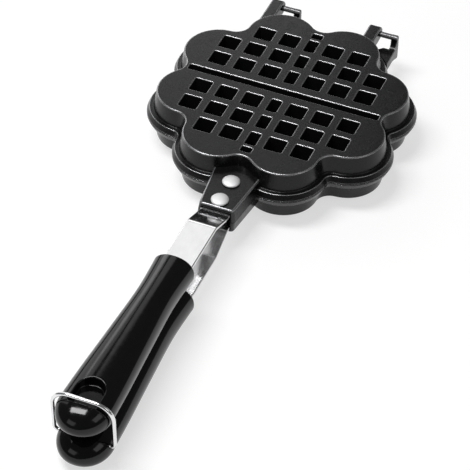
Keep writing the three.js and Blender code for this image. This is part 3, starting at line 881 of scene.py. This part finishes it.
for half, lower in halves:
    dress(settle(makeStrip(half + "Strip"), lower), half + "_half", "stainless_strip", stripMaterial,
          half + "_shank")
print("strips bent")


# rivets: flat-bottomed domes, shaft and tail, set in a row
def rivetProfile():
    radius, base = rivets["headRadius"], rivets["headBase"]
    shaft, tailRadius, tailTop = rivets["shaftRadius"], rivets["tailRadius"], rivets["tailTop"]
    rise = rivets["headHeight"] - rivets["rim"]
    tail = tailTop - rivets["tailHeight"]
    headEdge, tailEdge = rivets["headChamfer"], rivets["tailChamfer"]
    profile = [(0, tail), (tailRadius - tailEdge, tail), (tailRadius, tail + tailEdge), (tailRadius, tailTop),
               (shaft, tailTop), (shaft, base), (radius - headEdge, base), (radius, base + headEdge)]
    for step in range(rivets["domeSteps"]):
        angle = step / rivets["domeSteps"] * math.pi / 2
        profile.append((radius * math.cos(angle), base + rivets["rim"] + rise * math.sin(angle)))
    return profile + [(0, base + rivets["headHeight"])]


for half, lower in halves:
    master = turned("rivetMaster", rivetProfile(), rivets["around"])
    rivetRow = runTree(newPiece(half + "Rivets", [], []), row, {
        "Piece": master, "Count": rivets["count"], "First Place": (0, -rivets["first"], 0),
        "Pitch": (0, -rivets["pitch"], 0), "Finish": rivetMaterial})
    removePieces(master)
    dress(settle(rivetRow, lower), half + "_half", "rivet_aluminium", rivetMaterial,
          half + "_rivet_1", half + "_rivet_2")
print("rivets set")


# grips: a superellipse that narrows behind the front, swells to the palm and ends in a dome
grip = {
    "front": 154.4,
    "length": 127,
    "offset": 10.8,
    "widths": (23.5, 21.6, 24.7, 28.4, 30),
    "stations": (0, 0.23, 0.52, 0.81, 1),
    "frontHeight": 19.8,
    "endHeight": 19.4,
    "domeLength": 17,
    "rounding": 1.2,
    "rimSteps": 5,
    "rimGap": 0.5,  # from the rounded front to the next ring
    "roundness": 2.2,
    "crownLimit": 0.999,  # of the half width, where the crown's height is still taken
    "around": 96,
    "along": 48,
    "domeSteps": 16,
    "slotWidth": 17.8,
    "slotHeight": 2.6,
    "slotLength": 72.3,
}
gripEnd = grip["front"] + grip["length"]
domeStart = gripEnd - grip["domeLength"]


# a smooth curve through evenly set values, read at a share of its run
def throughPoints(values, share):
    place = share * (len(values) - 1)
    i = min(int(place), len(values) - 2)
    t = place - i
    p0, p1, p2, p3 = (values[min(max(j, 0), len(values) - 1)] for j in (i - 1, i, i + 1, i + 2))
    v0, v1 = (p2 - p0) / 2, (p3 - p1) / 2
    return ((2 * (p1 - p2) + v0 + v1) * t + (3 * (p2 - p1) - 2 * v0 - v1)) * t * t + v0 * t + p1


# half widths along the grip, as (place, half width)
gripPlan = [(
    grip["front"] + (domeStart - grip["front"]) * throughPoints(grip["stations"], i / grip["along"]),
    throughPoints(grip["widths"], i / grip["along"]) / 2,
) for i in range(grip["along"] + 1)]


def crownHeight(place):
    share = min(max((place - grip["front"]) / (domeStart - grip["front"]), 0), 1)
    height = (grip["frontHeight"] + (grip["endHeight"] - grip["frontHeight"]) * share) / 2
    inDome = min(max((place - domeStart) / grip["domeLength"], 0), 1)
    return height * math.sqrt(1 - inDome ** 2)


def halfWidth(place):
    if place >= domeStart:
        return gripPlan[-1][1] * math.sqrt(max(1 - ((place - domeStart) / grip["domeLength"]) ** 2, 0))
    for (a, widthA), (b, widthB) in zip(gripPlan, gripPlan[1:]):
        if place <= b:
            return widthA + (widthB - widthA) * (place - a) / (b - a)


# height of the grip's surface over its axis
def crownAt(x, place):
    share = min(abs(x) / halfWidth(place), grip["crownLimit"])
    return crownHeight(place) * (1 - share ** grip["roundness"]) ** (1 / grip["roundness"])


def gripRing(place, halfX, halfZ):
    ring = []
    power = 2 / grip["roundness"]
    for i in range(grip["around"]):
        angle = 2 * math.pi * i / grip["around"]
        x, z = math.cos(angle), math.sin(angle)
        ring.append(Vector((halfX * math.copysign(abs(x) ** power, x), -place,
                            grip["offset"] + halfZ * math.copysign(abs(z) ** power, z))))
    return ring


def gripBody(name):
    rounding = grip["rounding"]
    rings = []
    for step in range(grip["rimSteps"] + 1):
        angle = step / grip["rimSteps"] * math.pi / 2
        inset = rounding * (1 - math.sin(angle))
        place = grip["front"] + rounding * (1 - math.cos(angle))
        rings.append(gripRing(place, grip["widths"][0] / 2 - inset, grip["frontHeight"] / 2 - inset))
    rings += [gripRing(place, width, crownHeight(place)) for place, width in gripPlan
              if place > grip["front"] + rounding + grip["rimGap"]]
    for step in range(1, grip["domeSteps"]):
        angle = step / grip["domeSteps"] * math.pi / 2
        place = domeStart + grip["domeLength"] * math.sin(angle)
        rings.append(gripRing(place, gripPlan[-1][1] * math.cos(angle), crownHeight(place)))
    body = loft(name, rings, None, Vector((0, -gripEnd, grip["offset"])))
    half, rise = grip["slotWidth"] / 2, grip["slotHeight"] / 2
    combine(body, block("slot", (-half, -grip["front"] - grip["slotLength"], grip["offset"] - rise),
                        (half, -grip["front"] + overrun, grip["offset"] + rise)))
    return combine(body, turned("screwHole", screwProfile(clearance, -overrun), drawing["sides"], 0,
                                -screw["place"]))


# grip screws: cheese heads with a slot, sunk in the inner faces; a chamfer is (inwards, along)
screw = {"place": 200, "sink": 0.3, "headRadius": 3, "rim": 0.6, "headChamfer": (0.3, 0.25),
         "shaftRadius": 1.5, "cone": 1.4, "length": 15, "tipChamfer": (0.4, 0.5),
         "slotWidth": 0.9, "slotDepth": 0.7, "slotReach": 5}
screwFace = grip["offset"] - crownHeight(screw["place"]) + screw["sink"]


def screwProfile(grow, headDrop):
    head, shaft = screw["headRadius"] + grow, screw["shaftRadius"] + grow
    start, rim, tip = screwFace + headDrop, screwFace + screw["rim"], screwFace + screw["length"]
    (headIn, headUp), (tipIn, tipUp) = screw["headChamfer"], screw["tipChamfer"]
    return [(0, start), (head - headIn, start), (head, start + headUp), (head, rim),
            (shaft, rim + screw["cone"]), (shaft, tip - tipUp), (shaft - tipIn, tip + grow), (0, tip + grow)]


# thumb scoop: a round front and a straight wall under the bail's bar, with a rounded mouth on the crown
scoop = {"width": 15, "length": 17.5, "depth": 5.6, "wall": 268.65, "cornerRadius": 0.8, "cornerSteps": 14,
         "floorRadius": 0.8, "floorSteps": 5, "mouthRadius": 1, "mouthSteps": 6, "cutterRise": 3}


def scoopCutter():
    radius = scoop["width"] / 2
    front = -scoop["wall"] + scoop["length"]
    outline = roundedPath([
        (-radius, -scoop["wall"], scoop["cornerRadius"]),
        (radius, -scoop["wall"], scoop["cornerRadius"]),
        (radius, front, radius - hairline),
        (-radius, front, radius - hairline),
    ], scoop["cornerSteps"], closed=True)
    crown = grip["offset"] + grip["endHeight"] / 2
    floor = crown - scoop["depth"]
    rings = []
    for step in range(scoop["floorSteps"] + 1):
        angle = step / scoop["floorSteps"] * math.pi / 2
        inset = scoop["floorRadius"] * (1 - math.sin(angle))
        z = floor + scoop["floorRadius"] * (1 - math.cos(angle))
        rings.append([Vector((*point, z)) for point in shrunk(outline, inset)])
    for step in range(scoop["mouthSteps"] + 1):
        angle = step / scoop["mouthSteps"] * math.pi / 2
        reach = scoop["mouthRadius"] * (1 - math.cos(angle))
        drop = scoop["mouthRadius"] * (1 - math.sin(angle)) - hairline
        rings.append([Vector((*point, grip["offset"] + crownAt(point.x, -point.y) - drop))
                      for point in shrunk(outline, -reach)])
    rings.append([Vector((point.x, point.y, crown + scoop["cutterRise"])) for point in rings[-1]])
    return loft("scoopCutter", rings)


# wire bail: eyes in the lower grip, legs beside the grips and a bar over the upper one, all in one
# leaning plane
bail = {"wireRadius": 1.1, "pivotPlace": 266.7, "pivotHeight": -7.8, "barPlace": 268.1, "legPlace": 16.7,
        "hold": 7, "cornerRadius": 9.5, "eyeRadius": 2.5, "bendSteps": 14, "around": 24,
        "longestStep": 2, "holeRadius": 1.4}
barHeight = grip["offset"] + crownHeight(scoop["wall"]) + clearance + bail["wireRadius"]


def makeBail():
    pivot = Vector((0, -bail["pivotPlace"], bail["pivotHeight"]))
    rise = Vector((0, -bail["barPlace"], barHeight)) - pivot
    up = rise.normalized()
    leg, inner = bail["legPlace"], bail["legPlace"] - bail["hold"]
    path = evenly(roundedPath([
        (-inner, 0, 0),
        (-leg, 0, bail["eyeRadius"]),
        (-leg, rise.length, bail["cornerRadius"]),
        (leg, rise.length, bail["cornerRadius"]),
        (leg, 0, bail["eyeRadius"]),
        (inner, 0, 0),
    ], bail["bendSteps"]), bail["longestStep"])
    across = Vector((1, 0, 0))
    normal = across.cross(up)
    rings = []
    for i, point in enumerate(path):
        along = (path[min(i + 1, len(path) - 1)] - path[max(i - 1, 0)]).normalized()
        side = across * -along.y + up * along.x
        centre = pivot + across * point.x + up * point.y
        rings.append([centre + side * p.x + normal * p.y
                      for p in circle(0, 0, bail["wireRadius"], bail["around"])])
    return loft("wireBail", rings)


upperGrip = combine(gripBody("upperGrip"), scoopCutter())
dress(settle(upperGrip), "upper_half", "phenolic", phenolicMaterial, "upper_grip")
lowerGrip = gripBody("lowerGrip")
for side in (-1, 1):
    inner, outer = bail["legPlace"] - bail["hold"] - clearance, bail["legPlace"] + overrun
    ends = sorted((side * inner, side * outer))
    combine(lowerGrip, crossBar("eyeHole", *ends, -bail["pivotPlace"], -bail["pivotHeight"],
                                bail["holeRadius"]))
dress(settle(lowerGrip, lower=True), "lower_half", "phenolic", phenolicMaterial, "lower_grip")
print("grips moulded")

for half, lower in halves:
    piece = turned(half + "Screw", screwProfile(0, 0), drawing["sides"], 0, -screw["place"])
    halfSlot, reach = screw["slotWidth"] / 2, screw["slotReach"]
    combine(piece, block("screwSlot", (-halfSlot, -screw["place"] - reach, screwFace - overrun / 2),
                         (halfSlot, -screw["place"] + reach, screwFace + screw["slotDepth"])))
    dress(settle(piece, lower), half + "_half", "plated_steel", platedMaterial, half + "_grip_screw")
dress(settle(makeBail()), "bail", "plated_steel", platedMaterial, "wire_bail")
print("bail and screws made")


studio = {
    "floorColour": "#b0b0b0",
    "floorSize": 12,
    "floorGlow": 0.62,
    "worldLevel": 0.13,
    "aims": {"middle": (0, -0.28, 0), "plates": (0, -0.1, 0)},
}
# area lamps, as (name, width, height, turn, watts, place, aim)
lamps = [
    ("overhead", 0.68, 0.28, 90, 10.5, (-0.305, -0.3, 1.12), "middle"),
    ("backPanel", 0.75, 0.36, 0, 1.65, (-0.64, 0.92, 0.68), "plates"),
    ("highPanel", 0.36, 0.3, 0, 0.41, (-0.43, 0.92, 1.14), "plates"),
    ("leftPanel", 1.2, 1.2, 0, 4.8, (-1.4, 0.75, 0.85), "plates"),
    ("leftWindow", 0.55, 0.5, 0, 0.9, (-0.52, -1.24, 0.72), "middle"),
    ("rightWindow", 0.65, 0.6, 0, 1.5, (1.0, -0.36, 0.84), "middle"),
]


# the floor glows to the camera and in mirrors, and is plain paper to the light that falls on it
def makeFloor():
    half = studio["floorSize"] / 2
    z = cadBounds[0].z
    floor = newPiece("studioFloor", [(-half, -half, z), (half, -half, z), (half, half, z), (-half, half, z)],
                     [(0, 1, 2, 3)])
    material, tree = startMaterial("matPaper")
    light = addNode(tree, "ShaderNodeLightPath")
    mirrored = addNode(tree, "ShaderNodeMath", {"operation": "MAXIMUM"},
                       {0: light.outputs["Is Glossy Ray"], 1: light.outputs["Is Transmission Ray"]})
    seen = addNode(tree, "ShaderNodeMath", {"operation": "MAXIMUM"},
                   {0: light.outputs["Is Camera Ray"], 1: mirrored.outputs[0]})
    level = addNode(tree, "ShaderNodeMath", {"operation": "MULTIPLY", 1: studio["floorGlow"]},
                    {0: seen.outputs[0]})
    paper = addNode(tree, "ShaderNodeBsdfDiffuse", {"Color": colour(studio["floorColour"])})
    glow = addNode(tree, "ShaderNodeEmission", {"Color": (1, 1, 1, 1)}, {"Strength": level.outputs[0]})
    both = addNode(tree, "ShaderNodeAddShader", links={0: paper.outputs[0], 1: glow.outputs[0]})
    finishMaterial(tree, both)
    floor.data.materials.append(material)


def makeWorld():
    world = bpy.data.worlds.new("studioWorld")
    world.use_nodes = True
    tree = world.node_tree
    tree.nodes.clear()
    level = studio["worldLevel"]
    back = addNode(tree, "ShaderNodeBackground", {"Color": (level, level, level, 1), "Strength": 1})
    addNode(tree, "ShaderNodeOutputWorld", links={"Surface": back.outputs[0]})
    scene.world = world


def makeLamps():
    for name, width, height, turn, watts, place, aim in lamps:
        data = bpy.data.lights.new(name, "AREA")
        data.shape = "RECTANGLE"
        data.size = width
        data.size_y = height
        data.energy = watts
        lamp = bpy.data.objects.new(name, data)
        scene.collection.objects.link(lamp)
        facing = (Vector(studio["aims"][aim]) - Vector(place)).to_track_quat("-Z", "Y").to_matrix().to_4x4()
        lamp.matrix_world = Matrix.Translation(place) @ facing @ Matrix.Rotation(math.radians(turn), 4, "Z")


makeFloor()
makeWorld()
makeLamps()
print("studio lit")
